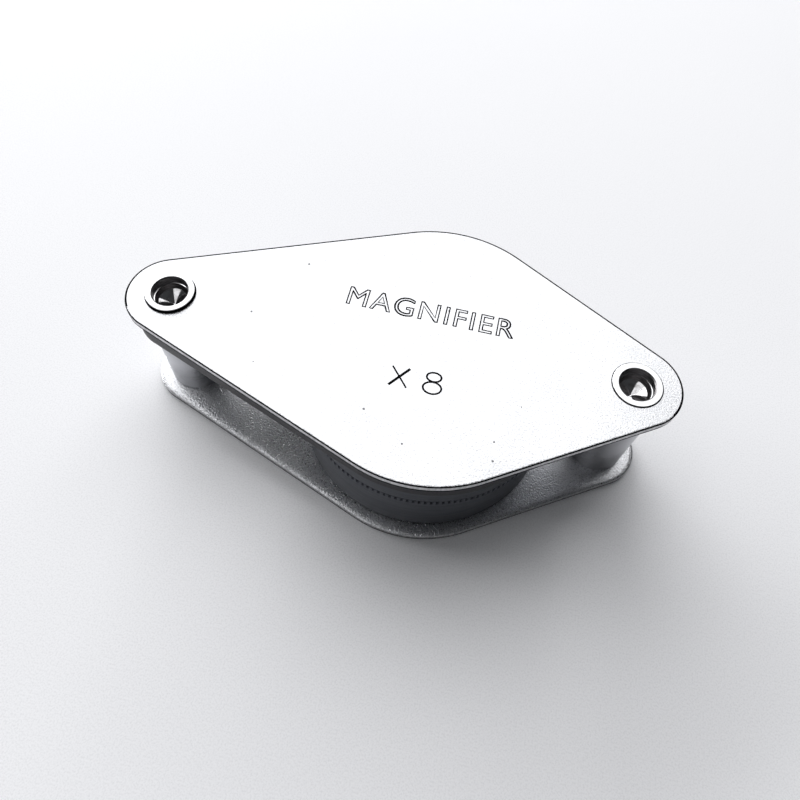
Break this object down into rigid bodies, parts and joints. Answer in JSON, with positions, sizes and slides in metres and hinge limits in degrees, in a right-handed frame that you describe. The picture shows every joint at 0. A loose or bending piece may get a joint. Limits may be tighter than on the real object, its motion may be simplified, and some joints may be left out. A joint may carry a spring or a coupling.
{
  "type": "viewing loupe",
  "caption": "Folding pocket magnifier: a round multi-lens barrel on a swing arm, stowed between two diamond-shaped metal plates held apart by pins and sleeves.",
  "frame": {"origin": "midway between the two case pins, on the underside of the bottom plate", "axes": "+X along the case from the pivot pin to the end pin, +Z from the bottom plate to the top plate, square to both"},
  "size_m": [0.0536, 0.0286, 0.0148],
  "materials": {
    "satin_nickel": "satin nickel plate with a fine grain",
    "bright_nickel": "turned, bright nickel plate",
    "washer_steel": "plain spring steel",
    "dark_arm": "dark grey anodised, satin",
    "dark_cell": "blue-black anodised, satin",
    "black_ring": "matt black anodised",
    "lens_glass": "polished optical glass"
  },
  "bodies": {
    "case": {"top_plate": "satin_nickel", "bottom_plate": "satin_nickel", "pivot_pin": "bright_nickel", "end_pin": "bright_nickel", "pivot_sleeve": "bright_nickel", "end_sleeve": "bright_nickel", "thrust_washer": "washer_steel", "spring_washer": "washer_steel"},
    "lens_holder": {"swing_arm": "dark_arm", "upper_cell": "dark_cell", "lower_cell": "dark_cell", "upper_retainer": "black_ring", "lower_retainer": "black_ring", "upper_lens": "lens_glass", "middle_lens": "lens_glass", "lower_lens": "lens_glass", "upper_spacer": "black_ring", "lower_spacer": "black_ring"}
  },
  "joints": [
    {"name": "lens_swing", "type": "hinge", "parent": "case", "child": "lens_holder", "pos_m": [-0.0225, 0, 0], "axis": [0, 0, 1], "continuous": true}
  ]
}
